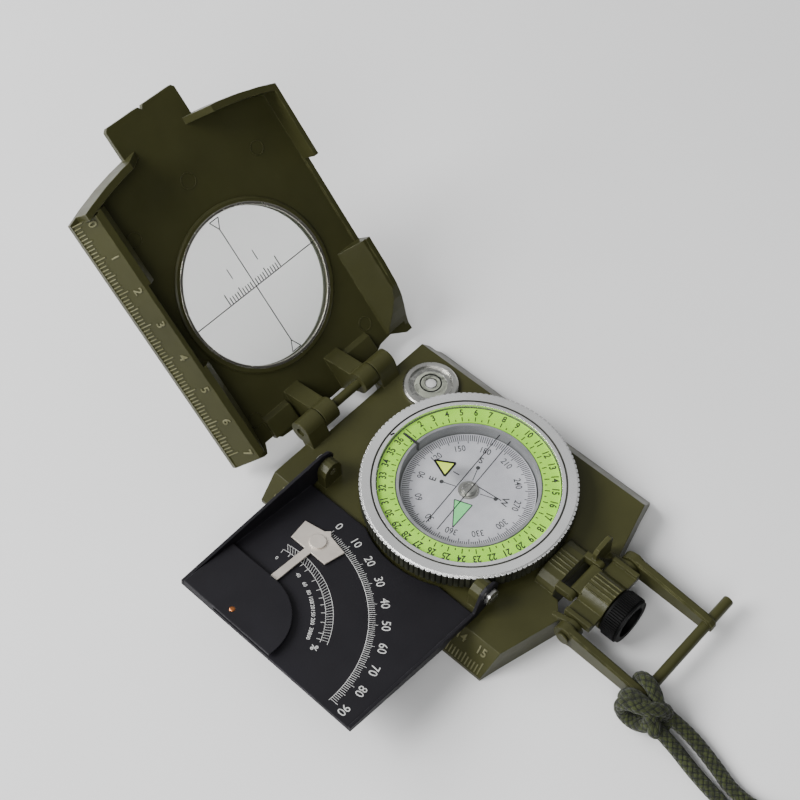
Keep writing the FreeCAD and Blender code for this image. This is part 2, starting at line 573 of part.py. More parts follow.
def build_lanyard():
    """Knotted neck cord on the thumb ring: two strands that run out to a small hank."""
    for label, points in (("lanyard_strand_a", STRAND_A), ("lanyard_strand_b", STRAND_B)):
        wire = route_wire([Vector(*p) for p in points])
        heading = Vector(*points[1]) - Vector(*points[0])
        circle = Part.Wire(Part.makeCircle(DIMS["cord_radius"], Vector(*points[0]), heading))
        tube = wire.makePipeShell([circle], True, False)
        print(label, "length", round(wire.Length, 1), "volume ratio",
              round(tube.Volume / (wire.Length * math.pi * DIMS["cord_radius"] ** 2), 3))
        node = doc.addObject("Part::Feature", label)
        node.Label = label
        node.Shape = tube
        nodes[label] = node
    hank = new_body("lanyard_hank", Placement(Vector(*HANK_CENTRE), Rotation()))
    pad(hank, "XY", (0, 0, 25.5), 0.0, 6.4)
    pocket(hank, "XY", (0, 0, 11.9), -1.0, 10.0)
    knot = doc.addObject("Part::Ellipsoid", "lanyard_knot")
    knot.Label = "lanyard_knot"
    knot.Radius1 = 5.6
    knot.Radius2 = 7.0
    knot.Radius3 = 6.2
    knot.Placement = Placement(Vector(-16.2, -67.6, 5.9), Rotation(Vector(0, 0, 1), 40))
    nodes["lanyard_knot"] = knot


BEZEL_TURN = 6.3
CARD_TURN = 114.0
SCREW_SPOTS = ((-24.0, -26.0), (24.0, -26.0), (-24.0, 33.0), (24.0, 33.0))
STRAND_A = ((-12.4, -70.5, 5.2), (-11.4, -76.5, 3.2), (-12.6, -85.0, 1.75), (-16.6, -96.5, 1.75),
            (-12.6, -109.0, 1.75), (-5.5, -119.0, 1.75))
STRAND_B = ((-16.2, -71.0, 4.8), (-16.4, -77.0, 3.0), (-18.4, -86.0, 1.75), (-20.0, -97.0, 1.75),
            (-28.5, -107.0, 1.75), (-38.5, -114.5, 1.75))
HANK_CENTRE = (-23.5, -135.0, 0.0)

build_base()
build_capsule()
build_bezel()
build_vial()
build_lid()
build_tray()
build_eyepiece()
build_ring()
build_lanyard()
doc.recompute()

for item in doc.Objects:
    if "Invalid" in item.State or "Error" in item.State:
        raise RuntimeError(f"{item.Label} failed to compute")
os.makedirs("parts", exist_ok=True)
for label, node in nodes.items():
    shape = node.Shape
    if shape.isNull() or not shape.isValid():
        raise RuntimeError(f"{label} has no valid shape")
    box = shape.BoundBox
    print(f"{label:18s} solids {len(shape.Solids)} volume {shape.Volume:9.1f}  "
          f"x {box.XMin:.1f}..{box.XMax:.1f} y {box.YMin:.1f}..{box.YMax:.1f} z {box.ZMin:.1f}..{box.ZMax:.1f}")
    shape.exportStep(f"parts/{label}.step")
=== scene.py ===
import math

import bmesh
import bpy
from mathutils import Matrix, Vector


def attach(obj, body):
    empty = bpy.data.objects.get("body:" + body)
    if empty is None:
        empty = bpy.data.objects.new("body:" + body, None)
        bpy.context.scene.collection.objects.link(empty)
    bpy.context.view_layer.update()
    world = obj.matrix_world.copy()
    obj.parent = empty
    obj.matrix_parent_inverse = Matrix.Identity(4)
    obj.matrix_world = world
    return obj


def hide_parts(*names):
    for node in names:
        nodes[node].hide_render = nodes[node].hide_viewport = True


# Sighting compass on a pale table. Lengths are metres; mm() turns the drawing's millimetres into metres.

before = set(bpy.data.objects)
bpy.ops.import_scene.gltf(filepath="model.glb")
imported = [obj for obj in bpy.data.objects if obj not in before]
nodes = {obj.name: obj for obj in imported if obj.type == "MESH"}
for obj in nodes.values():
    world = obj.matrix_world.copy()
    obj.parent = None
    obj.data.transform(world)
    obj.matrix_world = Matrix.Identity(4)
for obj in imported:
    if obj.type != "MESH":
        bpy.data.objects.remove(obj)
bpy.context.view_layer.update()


def mm(value):
    return value * 0.001


def turn(axis, degrees):
    return Matrix.Rotation(math.radians(degrees), 4, axis)


def shift(x, y, z):
    return Matrix.Translation(Vector((mm(x), mm(y), mm(z))))


# Moving parts at rest: the lid and the tray from their hinges, the bezel and the card about the dial's axis.
LID = shift(0, 43.1, 11.0) @ turn("X", 46.65)
TRAY = shift(-20.0, 0, 12.8) @ turn("Y", 8.0)
BEZEL = turn("Z", 6.3)
CARD_NORTH = 201.5

# Heights of the printed surfaces, in the drawing's millimetres.
RING_TOP = 13.8
GLASS_TOP = 14.9
CARD_TOP = 10.6
TRAY_TOP = -4.3
PANE_LOW, PANE_HIGH = -9.3, -9.26
PRINT = 0.03
CORD_RADIUS = 1.7
KNOT_RADIUS = 1.75
RULER_MARKS = 71


# ---------------------------------------------------------------- camera and cord

camera_data = bpy.data.cameras.new("camera")
camera_data.lens = 69.66
camera_data.sensor_width = 36.0
camera_data.clip_start = 0.01
camera = bpy.data.objects.new("camera", camera_data)
camera.location = (mm(-164.1), mm(-127.8), mm(340.0))
camera.rotation_euler = (math.radians(35.52), 0.0, math.radians(-47.35))
bpy.context.scene.collection.objects.link(camera)
bpy.context.scene.camera = camera


def link(name, mesh):
    piece = bpy.data.objects.new(name, mesh)
    bpy.context.scene.collection.objects.link(piece)
    return piece


def spline_points(name, points):
    """Points read from the smooth NURBS line through a route's control points."""
    curve = bpy.data.curves.new(name, "CURVE")
    curve.dimensions = "3D"
    spline = curve.splines.new("NURBS")
    spline.points.add(len(points) - 1)
    for point, place in zip(spline.points, points):
        point.co = (mm(place[0]), mm(place[1]), mm(place[2]), 1.0)
    spline.order_u = 3
    spline.use_endpoint_u = True
    spline.resolution_u = 10
    holder = link(name, curve)
    bpy.context.view_layer.update()
    line = bpy.data.meshes.new_from_object(holder.evaluated_get(bpy.context.evaluated_depsgraph_get()))
    places = [v.co.copy() for v in line.vertices]
    bpy.data.objects.remove(holder)
    return places


def even(places, step):
    """The same line with a point every step."""
    result = [places[0]]
    carried = 0.0
    for a, b in zip(places, places[1:]):
        gap = (b - a).length
        while carried + gap >= step and gap > 0:
            part = (step - carried) / gap
            a = a.lerp(b, part)
            result.append(a)
            gap = (b - a).length
            carried = 0.0
        carried += gap
    return result


def braided_tube(name, places, radius, step=0.0004):
    """Round braid: rows of plaited tufts stand out of the surface along the cord."""
    path = even(places, step)
    sides = 24
    tufts_round = 3
    tuft_length = 0.0036
    verts = []
    faces = []
    along = []
    side = Vector((0, 0, 1))
    for i, place in enumerate(path):
        heading = (path[min(i + 1, len(path) - 1)] - path[max(i - 1, 0)]).normalized()
        side = (side - heading * side.dot(heading)).normalized()
        other = heading.cross(side)
        travel = 2 * math.pi * i * step / tuft_length
        for j in range(sides):
            angle = 2 * math.pi * j / sides
            wave = math.sin(tufts_round * angle + travel) * math.sin(tufts_round * angle - travel)
            size = radius * (0.93 + 0.07 * math.sqrt(abs(wave)))
            if i in (0, len(path) - 1):
                size *= 0.5
            verts.append(place + (side * math.cos(angle) + other * math.sin(angle)) * size)
            along.append((i * step / tuft_length, j))
    for i in range(len(path) - 1):
        for j in range(sides):
            k = (j + 1) % sides
            faces.append((i * sides + j, i * sides + k, (i + 1) * sides + k, (i + 1) * sides + j))
    faces.append(tuple(range(sides))[::-1])
    faces.append(tuple(range((len(path) - 1) * sides, len(path) * sides)))
    mesh = bpy.data.meshes.new(name)
    mesh.from_pydata(verts, [], faces)
    layer = mesh.uv_layers.new(name="braid")
    for face in mesh.polygons:
        face.use_smooth = True
        columns = [along[mesh.loops[k].vertex_index][1] for k in face.loop_indices]
        wraps = max(columns) - min(columns) > sides // 2 and len(columns) == 4
        for k, column in zip(face.loop_indices, columns):
            row = along[mesh.loops[k].vertex_index][0]
            around = column + sides if wraps and column < sides // 2 else column
            layer.data[k].uv = (row, tufts_round * around / sides)
    return link(name, mesh), path


def coil_points(centre, rows, per_turn, start):
    """Neat clockwise turns: rows are the (radius, height) of each turn, wound one after another."""
    points = []
    total = len(rows) * per_turn
    for i in range(total + 1):
        order = min(i // per_turn, len(rows) - 1)
        part = i / per_turn - order
        after = rows[min(order + 1, len(rows) - 1)]
        blend = max(0.0, (part - 0.82) / 0.18)
        blend = blend * blend * (3 - 2 * blend)
        radius = rows[order][0] * (1 - blend) + after[0] * blend
        height = rows[order][1] * (1 - blend) + after[1] * blend
        angle = math.radians(start - 360 * i / per_turn)
        points.append((centre[0] + radius * math.cos(angle), centre[1] + radius * math.sin(angle), height))
    return points


STRAND_A = [(-12.4, -70.5, 5.2), (-11.4, -76.5, 3.2), (-12.6, -85.0, 1.75), (-16.6, -96.5, 1.75),
            (-12.6, -109.0, 1.75), (-5.5, -119.0, 1.75)]
STRAND_B = [(-16.2, -71.0, 4.8), (-16.4, -77.0, 3.0), (-18.4, -86.0, 1.75), (-20.0, -97.0, 1.75),
            (-28.5, -107.0, 1.75), (-38.5, -114.5, 1.75)]
HANK_CENTRE = (-23.5, -135.0)
HANK_ROWS = [(23.6, 1.75), (20.2, 1.75), (16.8, 1.75), (13.5, 1.75), (15.2, 4.65), (18.6, 4.65), (22.0, 4.65)]

turns = coil_points(HANK_CENTRE, HANK_ROWS, 14, 20.0)
tail = turns[:-5]
route = STRAND_A + tail + [(-46.5, -127.0, 4.2), (-44.5, -119.5, 2.8)] + STRAND_B[::-1]
cord, cord_path = braided_tube("lanyard_cord", spline_points("lanyard_route", route), mm(CORD_RADIUS))
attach(cord, "thumb_ring")
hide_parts("lanyard_strand_a", "lanyard_strand_b", "lanyard_hank")

KNOT = [(-12.4, -71.0, 5.2), (-11.0, -69.4, 3.4), (-10.2, -66.6, 2.5), (-9.9, -63.4, 2.9),
        (-9.9, -61.8, 5.8), (-10.1, -63.4, 8.8), (-10.9, -66.6, 9.0), (-12.8, -69.6, 8.0),
        (-15.2, -71.2, 5.2), (-15.9, -68.4, 2.8), (-15.8, -64.4, 2.5), (-15.7, -61.9, 5.4),
        (-15.6, -63.2, 8.7), (-15.3, -66.4, 9.1), (-15.6, -69.6, 8.4), (-17.4, -71.0, 5.2),
        (-18.2, -68.0, 3.0), (-18.2, -64.6, 2.9), (-18.0, -62.6, 5.6), (-17.5, -64.2, 8.4),
        (-16.8, -67.4, 8.8), (-14.8, -70.2, 9.0), (-12.2, -71.6, 6.8), (-12.4, -72.6, 3.8),
        (-15.2, -73.2, 2.8), (-17.6, -72.6, 4.4), (-17.2, -71.8, 6.4), (-16.2, -71.4, 4.8)]
knot, _ = braided_tube("lanyard_knot_wraps", spline_points("knot_route", KNOT), mm(KNOT_RADIUS))
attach(knot, "thumb_ring")
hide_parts("lanyard_knot")


# ---------------------------------------------------------------- materials

def srgb(code):
    """Linear colour from a hex sRGB code."""
    parts = [int(code[i:i + 2], 16) / 255 for i in (0, 2, 4)]
    return [p / 12.92 if p <= 0.04045 else ((p + 0.055) / 1.055) ** 2.4 for p in parts] + [1.0]


class Paint:
    """Small helper that builds one node material."""

    def __init__(self, name):
        self.material = bpy.data.materials.new(name)
        self.material.use_nodes = True
        self.tree = self.material.node_tree
        self.shader = self.tree.nodes["Principled BSDF"]
        self.place = self.tree.nodes.new("ShaderNodeTexCoord").outputs["Object"]

    def link(self, source, target):
        self.tree.links.new(source, target)

    def node(self, kind, **values):
        item = self.tree.nodes.new(kind)
        for key, value in values.items():
            setattr(item, key, value)
        return item

    def noise(self, scale, detail=3.0, rough=0.55, vector=None):
        item = self.node("ShaderNodeTexNoise")
        item.inputs["Scale"].default_value = scale
        item.inputs["Detail"].default_value = detail
        item.inputs["Roughness"].default_value = rough
        self.link(vector or self.place, item.inputs["Vector"])
        return item.outputs["Fac"]

    def math(self, kind, a, b=0.0, clamp=False):
        item = self.node("ShaderNodeMath", operation=kind, use_clamp=clamp)
        for socket, value in zip(item.inputs, (a, b)):
            if isinstance(value, (int, float)):
                socket.default_value = value
            else:
                self.link(value, socket)
        return item.outputs[0]

    def span(self, value, low, high, out_low=0.0, out_high=1.0):
        item = self.node("ShaderNodeMapRange")
        self.link(value, item.inputs["Value"])
        limits = (("From Min", low), ("From Max", high), ("To Min", out_low), ("To Max", out_high))
        for name, number in limits:
            item.inputs[name].default_value = number
        return item.outputs["Result"]

    def mix(self, amount, a, b):
        item = self.node("ShaderNodeMix", data_type="RGBA")
        for socket, value in ((item.inputs[0], amount), (item.inputs[6], a), (item.inputs[7], b)):
            if isinstance(value, (list, tuple, int, float)):
                socket.default_value = value
            else:
                self.link(value, socket)
        return item.outputs[2]

    def parts(self, vector=None):
        item = self.node("ShaderNodeSeparateXYZ")
        self.link(vector or self.place, item.inputs[0])
        return item.outputs

    def bump(self, height, distance, strength=1.0, soften=0.0):
        item = self.node("ShaderNodeBump")
        item.inputs["Strength"].default_value = strength
        item.inputs["Distance"].default_value = distance
        self.link(height, item.inputs["Height"])
        if soften:
            round_off = self.node("ShaderNodeBevel", samples=4)
            round_off.inputs["Radius"].default_value = soften
            self.link(round_off.outputs[0], item.inputs["Normal"])
        self.link(item.outputs[0], self.shader.inputs["Normal"])

    def edges(self, radius):
        """1 along convex and concave edges, 0 on flats."""
        round_off = self.node("ShaderNodeBevel", samples=4)
        round_off.inputs["Radius"].default_value = radius
        dot = self.node("ShaderNodeVectorMath", operation="DOT_PRODUCT")
        self.link(round_off.outputs[0], dot.inputs[0])
        self.link(self.node("ShaderNodeNewGeometry").outputs["Normal"], dot.inputs[1])
        return self.span(dot.outputs["Value"], 0.985, 0.86)

    def fixed(self, **values):
        names = {"coat": "Coat Weight", "coat_rough": "Coat Roughness", "sheen": "Sheen Weight",
                 "sheen_rough": "Sheen Roughness", "ior": "IOR", "metallic": "Metallic",
                 "glass": "Transmission Weight", "rough": "Roughness", "specular": "Specular IOR Level",
                 "glow": "Emission Strength"}
        for key, value in values.items():
            self.shader.inputs[names[key]].default_value = value


def enamel(name, dark, light, rough, coat, wear, grain=900.0):
    """Sprayed paint over cast metal: fine orange peel, patchy tone and rubbed edges."""
    paint = Paint(name)
    patches = paint.noise(38.0, 4.0)
    tone = paint.mix(paint.span(patches, 0.3, 0.7), srgb(dark), srgb(light))
    rubbed = paint.math("MULTIPLY", paint.edges(0.0003), paint.span(paint.noise(260.0), 0.42, 0.62), True)
    colour = paint.mix(paint.math("MULTIPLY", rubbed, 0.55), tone, srgb(wear))
    paint.link(colour, paint.shader.inputs["Base Color"])
    gloss = paint.span(paint.noise(120.0), 0.3, 0.7, rough - 0.06, rough + 0.08)
    paint.link(gloss, paint.shader.inputs["Roughness"])
    paint.fixed(coat=coat, coat_rough=0.16, specular=0.18)
    paint.bump(paint.noise(grain, 2.0), 0.00006, 0.5, 0.00035)
    return paint.material


def metal(name, dark, light, rough, metallic=1.0):
    """Bare metal with fine tool marks and small stains."""
    paint = Paint(name)
    paint.fixed(metallic=metallic)
    tone = paint.mix(paint.span(paint.noise(90.0, 4.0), 0.3, 0.7), srgb(dark), srgb(light))
    paint.link(tone, paint.shader.inputs["Base Color"])
    gloss = paint.span(paint.noise(420.0), 0.3, 0.7, rough - 0.07, rough + 0.1)
    paint.link(gloss, paint.shader.inputs["Roughness"])
    paint.bump(paint.noise(1400.0, 2.0), 0.00002, 0.5, 0.0002)
    return paint.material


def plastic(name, dark, light, rough, coat=0.0, glow=0.0, specular=0.5):
    """Moulded or printed surface with faint tone change and grain; a glow value makes the colour emit faintly
    as painted light.
    """
    paint = Paint(name)
    tone = paint.mix(paint.span(paint.noise(150.0), 0.3, 0.7), srgb(dark), srgb(light))
    paint.link(tone, paint.shader.inputs["Base Color"])
    gloss = paint.span(paint.noise(600.0), 0.3, 0.7, rough - 0.05, rough + 0.08)
    paint.link(gloss, paint.shader.inputs["Roughness"])
    paint.fixed(coat=coat, coat_rough=0.2, specular=specular)
    # Painted glow: the surface colour also emits light, though the part is no lamp.
    if glow:
        paint.link(tone, paint.shader.inputs["Emission Color"])
        paint.fixed(glow=glow)
    paint.bump(paint.noise(2200.0, 2.0), 0.00002, 0.4, 0.0001)
    return paint.material


def clear(name, tint, alpha, rough=0.02):
    """Thin cover glass that lets shadows through softly, with faint smears."""
    paint = Paint(name)
    paint.shader.inputs["Base Color"].default_value = srgb(tint)
    paint.fixed(ior=1.5, coat=1.0, coat_rough=0.02)
    smears = paint.span(paint.noise(60.0), 0.45, 0.75, rough, rough + 0.05)
    paint.link(smears, paint.shader.inputs["Roughness"])
    paint.shader.inputs["Alpha"].default_value = alpha
    return paint.material


def turned_bezel():
    """Bright turned top, a groove painted black as shade in its recess, and dark knurled edge on one ring."""
    paint = Paint("turned_bezel")
    x, y, z = paint.parts()
    squares = paint.math("ADD", paint.math("MULTIPLY", x, x), paint.math("MULTIPLY", y, y))
    radius = paint.math("SQRT", squares)
    low = paint.span(z, 0.01435, 0.01425)
    outside = paint.span(radius, 0.0258, 0.0259)
    knurl = paint.math("MULTIPLY", low, outside, True)
    # Painted shade: the groove ring is coloured black like the knurl, standing in for the shade in its
    # recess.
    inner_lip = paint.span(radius, 0.0241, 0.0242)
    outer_lip = paint.span(radius, 0.02475, 0.02465)
    groove = paint.math("MULTIPLY", inner_lip, outer_lip, True)
    knurl_black_and_groove_shade = paint.math("MAXIMUM", knurl, groove, True)
    bright = paint.mix(paint.span(paint.noise(55.0), 0.3, 0.7), srgb("e6e6e5"), srgb("f6f6f5"))
    black = paint.mix(paint.span(paint.noise(300.0), 0.3, 0.7), srgb("1b1c17"), srgb("35362c"))
    paint.link(paint.mix(knurl_black_and_groove_shade, bright, black), paint.shader.inputs["Base Color"])
    paint.link(paint.span(knurl_black_and_groove_shade, 0.0, 1.0, 0.85, 0.0), paint.shader.inputs["Metallic"])
    paint.link(paint.span(knurl_black_and_groove_shade, 0.0, 1.0, 0.27, 0.42), paint.shader.inputs["Roughness"])
    grain = paint.node("ShaderNodeTangent", direction_type="RADIAL", axis="Z")
    paint.link(grain.outputs[0], paint.shader.inputs["Tangent"])
    paint.shader.inputs["Anisotropic"].default_value = 0.7
    rings = paint.node("ShaderNodeTexNoise", noise_dimensions="1D")
    rings.inputs["Scale"].default_value = 9000.0
    paint.link(radius, rings.inputs["W"])
    paint.bump(rings.outputs["Fac"], 0.00001, 0.6, 0.00015)
    return paint.material


def braid():
    """Olive and black plaited cord, with painted shade in the seams between tufts and painted highlight on
    the thread ridges; the pattern follows the cord by its own length.
    """
    paint = Paint("braid")
    across = paint.node("ShaderNodeUVMap", uv_map="braid").outputs[0]
    u, v, _ = paint.parts(across)
    turns = 2 * math.pi
    one = paint.math("SINE", paint.math("MULTIPLY", paint.math("ADD", u, v), turns))
    two = paint.math("SINE", paint.math("MULTIPLY", paint.math("SUBTRACT", v, u), turns))
    weave = paint.math("MULTIPLY", one, two)
    tuft = paint.math("POWER", paint.math("ABSOLUTE", weave), 0.5)
    lean = paint.math("GREATER_THAN", weave, 0.0)
    threads = paint.math("SINE", paint.math("MULTIPLY", paint.math(
        "ADD", u, paint.math("MULTIPLY", v, paint.span(lean, 0.0, 1.0, -1.0, 1.0))), 7 * turns))
    patchy = paint.span(paint.noise(620.0), 0.4, 0.6)
    yarn = paint.mix(patchy, srgb("0a0c06"), srgb("2b3115"))
    # Painted highlight: the thread ridges are mixed towards a lighter olive.
    yarn = paint.mix(paint.span(threads, -1.0, 1.0, 0.0, 0.35), yarn, srgb("434a25"))
    # Painted shade: the low seams between tufts are mixed to near-black.
    colour = paint.mix(paint.span(tuft, 0.25, 0.6), srgb("060804"), yarn)
    paint.link(colour, paint.shader.inputs["Base Color"])
    paint.fixed(rough=0.82, sheen=0.12, sheen_rough=0.5, specular=0.25)
    height = paint.math("ADD", tuft, paint.math("MULTIPLY", threads, 0.12))
    paint.bump(paint.math("ADD", height, paint.math("MULTIPLY", paint.noise(2500.0), 0.2)), 0.0003, 0.8)
    return paint.material


olive = enamel("olive_enamel", "30301a", "3a3a20", 0.36, 0.06, "6f6e4a")
olive_dark = enamel("olive_recess", "2c2c15", "36351c", 0.4, 0.1, "6c6b48")
black = enamel("black_enamel", "171619", "1d1c20", 0.52, 0.0, "48474c", 1500.0)
black_gloss = plastic("black_moulding", "020202", "060606", 0.6, specular=0.12)
bezel_metal = turned_bezel()
steel = metal("satin_steel", "a3a29c", "cfcec9", 0.28)
bright_steel = metal("bead_steel", "c4c0b4", "e2ded2", 0.2)
beige_steel = metal("pendulum_metal", "c3bab0", "d8d0c6", 0.45, metallic=0.55)
brass = metal("worn_brass", "a8874c", "d2b478", 0.3)
copper = metal("copper_rivet", "a8643a", "cf8a58", 0.35)
silver = plastic("card_print_ground", "a9a9af", "bcbcc1", 0.4)
wall_grey = plastic("capsule_grey", "6f7072", "8a8b8c", 0.4)
# The three lume greens carry a faint emission: painted glow.
green = plastic("lume_green_painted_glow", "8fd41e", "a2e034", 0.5, 0.0, 0.05, 0.25)
green_soft = plastic("lume_mint_painted_glow", "62cf78", "78da88", 0.45, 0.0, 0.04)
lime = plastic("lume_lime_painted_glow", "c2dc3c", "d0e653", 0.45, 0.0, 0.04)
ink = plastic("black_ink", "0e0e0e", "181818", 0.5, specular=0.2)
grey_ink = plastic("grey_ink", "2c2c2e", "3a3a3c", 0.5, specular=0.2)
white_ink = plastic("white_ink", "b0b0ae", "c6c6c4", 0.5)
green_ink = plastic("dark_green_ink", "141c0a", "1e2810", 0.5, specular=0.2)
raised_olive = enamel("rubbed_olive", "56553a", "6f6e50", 0.4, 0.0, "96947a")
fluid = plastic("vial_fluid", "8f9284", "a3a698", 0.15, 0.3)
glass = clear("cover_glass", "8a8f8c", 0.045)
window = clear("window_pane", "9ba39a", 0.16)
lens = clear("lens_glass", "20262c", 0.55)
cord_braid = braid()
iron = metal("magnet_iron", "3c3c3e", "55555a", 0.5)

CARRIED = {
    "base_housing": olive, "bottom_cover": olive_dark, "bottom_screws": steel, "hinge_pin": olive,
    "tray_screws": steel, "capsule_cup": wall_grey, "pivot_post": brass, "lubber_pointer": ink,
    "vial_cup": steel, "vial_liquid": fluid, "vial_glass": glass, "eyepiece_pin": olive,
    "ring_pivot_pins": olive, "card_disc": silver, "card_magnet": iron, "jewel_cap": steel,
    "bezel_ring": bezel_metal, "degree_ring": green, "bezel_glass": glass, "lid_shell": olive,
    "window_glass": window, "window_ring": olive, "tray_sheet": black, "sector_cover": black,
    "pendulum_rivet": copper, "pendulum": beige_steel, "eyepiece_bracket": olive, "eyepiece_lens": lens,
    "focus_knob": black_gloss, "knob_lens": lens, "ring_arm_left": olive, "ring_arm_right": olive,
    "ring_crossbar": olive,
}
for name, material in CARRIED.items():
    mesh = nodes[name].data
    mesh.materials.clear()
    mesh.materials.append(material)
for piece in (cord, knot):
    piece.data.materials.append(cord_braid)


# ---------------------------------------------------------------- flat marks

def prism(bm, place, outline, low, high):
    """Closed prism on an outline given in the drawing's millimetres."""
    bottom = [bm.verts.new(place @ Vector((mm(x), mm(y), mm(low)))) for x, y in outline]
    top = [bm.verts.new(place @ Vector((mm(x), mm(y), mm(high)))) for x, y in outline]
    count = len(outline)
    bm.faces.new(top)
    bm.faces.new(bottom[::-1])
    for i in range(count):
        k = (i + 1) % count
        bm.faces.new((bottom[i], bottom[k], top[k], top[i]))


def bar(bm, place, start, end, width, low, high):
    """Straight mark from start to end."""
    a = Vector(start)
    b = Vector(end)
    side = Vector((a.y - b.y, b.x - a.x)).normalized() * (width / 2)
    prism(bm, place, [(a + side)[:], (a - side)[:], (b - side)[:], (b + side)[:]][::-1], low, high)


def hoop(bm, place, inner, outer, low, high, first=0.0, last=360.0, count=96):
    """Flat ring or part of one."""
    whole = abs(last - first) >= 360
    rows = []
    steps = count if whole else count + 1
    for i in range(steps):
        angle = math.radians(first + (last - first) * i / count)
        c, s = math.cos(angle), math.sin(angle)
        rows.append([bm.verts.new(place @ Vector((mm(r * c), mm(r * s), mm(z))))
                     for r, z in ((inner, low), (outer, low), (outer, high), (inner, high))])
    for i in range(count):
        a = rows[i]
        b = rows[(i + 1) % steps]
        for j in range(4):
            k = (j + 1) % 4
            bm.faces.new((a[j], a[k], b[k], b[j]))
    if not whole:
        bm.faces.new(rows[0])
        bm.faces.new(rows[-1][::-1])


def write(bm, place, words, size, low, thick=0.06, stretch=1.0, weight=0.012):
    """Raised or printed figures, centred on the place's origin."""
    curve = bpy.data.curves.new("figures", "FONT")
    curve.body = words
    curve.size = mm(size)
    curve.align_x = "CENTER"
    curve.align_y = "CENTER"
    curve.extrude = mm(thick / 2)
    curve.resolution_u = 3
    curve.offset = mm(size * weight)
    holder = link("figures", curve)
    bpy.context.view_layer.update()
    mesh = bpy.data.meshes.new_from_object(holder.evaluated_get(bpy.context.evaluated_depsgraph_get()))
    bpy.data.objects.remove(holder)
    wide = Matrix.Diagonal((stretch, 1, 1, 1))
    mesh.transform(place @ Matrix.Translation((0, 0, mm(low + thick / 2))) @ wide)
    bm.from_mesh(mesh)
    bpy.data.meshes.remove(mesh)


def emit(bm, name, material, body, bevel=0.0):
    """Turn the collected marks into one piece that rides on a body."""
    bmesh.ops.recalc_face_normals(bm, faces=bm.faces)
    mesh = bpy.data.meshes.new(name)
    bm.to_mesh(mesh)
    bm.free()
    mesh.materials.append(material)
    piece = link(name, mesh)
    if bevel:
        soften = piece.modifiers.new("soften", "BEVEL")
        soften.width = bevel
        soften.segments = 2
        soften.limit_method = "ANGLE"
    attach(piece, body)
    return piece


def polar(radius, degrees):
    angle = math.radians(degrees)
    return (radius * math.cos(angle), radius * math.sin(angle))


def dial():
    """Luminous ring figures, and the lines, triangle and index mark that turn with the bezel."""
    marks = bmesh.new()
    for step in range(36):
        angle = 90.0 - 10.0 * step
        number = 36 if step == 0 else step
        spot = BEZEL @ turn("Z", angle - 90.0) @ shift(0, 21.55, RING_TOP)
        write(marks, spot, str(number), 2.6, 0.0, 0.04, 0.82, 0.022)
        bar(marks, BEZEL, polar(18.9, angle), polar(20.2, angle), 0.26, RING_TOP, RING_TOP + 0.04)
        half = angle - 5.0
        bar(marks, BEZEL, polar(18.9, half), polar(19.5, half), 0.26, RING_TOP, RING_TOP + 0.04)
    hoop(marks, BEZEL, 23.0, 23.2, RING_TOP, RING_TOP + 0.04)
    emit(marks, "degree_figures", green_ink, "bezel")

    lines = bmesh.new()
    for offset in (-1.65, 1.65):
        bar(lines, BEZEL, (-16.0, offset), (16.0, offset), 0.24, GLASS_TOP, GLASS_TOP + PRINT)
    bar(lines, BEZEL, (0, 4.8), (0, 3.0), 0.24, GLASS_TOP, GLASS_TOP + PRINT)
    bar(lines, BEZEL, (0, -2.6), (0, -9.6), 0.24, GLASS_TOP, GLASS_TOP + PRINT)
    outer = [(0.0, 10.6), (-2.4, 5.7), (2.4, 5.7)]
    for i in range(3):
        bar(lines, BEZEL, outer[i], outer[(i + 1) % 3], 0.55, GLASS_TOP, GLASS_TOP + 0.04)
    emit(lines, "glass_lines", ink, "bezel")
    fill = bmesh.new()
    prism(fill, BEZEL, [(0.0, 10.4), (-2.2, 5.8), (2.2, 5.8)], GLASS_TOP, GLASS_TOP + 0.02)
    emit(fill, "glass_triangle", lime, "bezel")

    index = bmesh.new()
    bar(index, BEZEL, (-0.5, 24.0), (0.6, 23.5), 0.5, GLASS_TOP + 0.05, GLASS_TOP + 0.07)
    emit(index, "index_mark", ink, "bezel")


def card():
    """Printed compass card: degrees, cardinal letters, dots and the green north pointer."""
    marks = bmesh.new()
    for step in range(180):
        angle = CARD_NORTH - 2 * step
        length = 2.6 if step % 5 == 0 else 1.9
        bar(marks, Matrix(), polar(16.8, angle), polar(16.8 - length, angle), 0.2, CARD_TOP, CARD_TOP + PRINT)
    for step in range(12):
        number = 360 if step == 0 else 30 * step
        angle = CARD_NORTH - number
        spot = turn("Z", angle - 90.0) @ shift(0, 12.6, CARD_TOP)
        write(marks, spot, str(number), 2.5, 0.0, 0.03, 0.84, 0.006)
    for letter, number in (("E", 90), ("S", 180), ("W", 270)):
        angle = CARD_NORTH - number
        write(marks, turn("Z", angle - 90.0) @ shift(0, 9.5, CARD_TOP), letter, 2.5, 0.0, 0.03)
        bar(marks, Matrix(), polar(3.1, angle), polar(6.8, angle), 0.2, CARD_TOP, CARD_TOP + PRINT)
        hoop(marks, turn("Z", angle) @ shift(7.2, 0, 0), 0.02, 0.55, CARD_TOP, CARD_TOP + PRINT, count=20)
    tip = polar(11.6, CARD_NORTH)
    left = polar(4.5, CARD_NORTH - 32)
    right = polar(4.5, CARD_NORTH + 32)
    for a, b in ((tip, left), (left, right), (right, tip)):
        bar(marks, Matrix(), a, b, 0.26, CARD_TOP, CARD_TOP + 0.05)
    emit(marks, "card_figures", grey_ink, "card")
    pointer = bmesh.new()
    prism(pointer, Matrix(), [tip, left, right], CARD_TOP, CARD_TOP + 0.04)
    emit(pointer, "card_pointer", green_soft, "card")
    rim = bmesh.new()
    hoop(rim, Matrix(), 1.95, 2.7, CARD_TOP, CARD_TOP + 0.12)
    hoop(rim, Matrix(), 1.25, 1.55, 11.72, 11.86)
    emit(rim, "card_rings", steel, "card")


def tick_length(count):
    return 3.4 if count % 10 == 0 else (2.9 if count % 5 == 0 else 2.3)


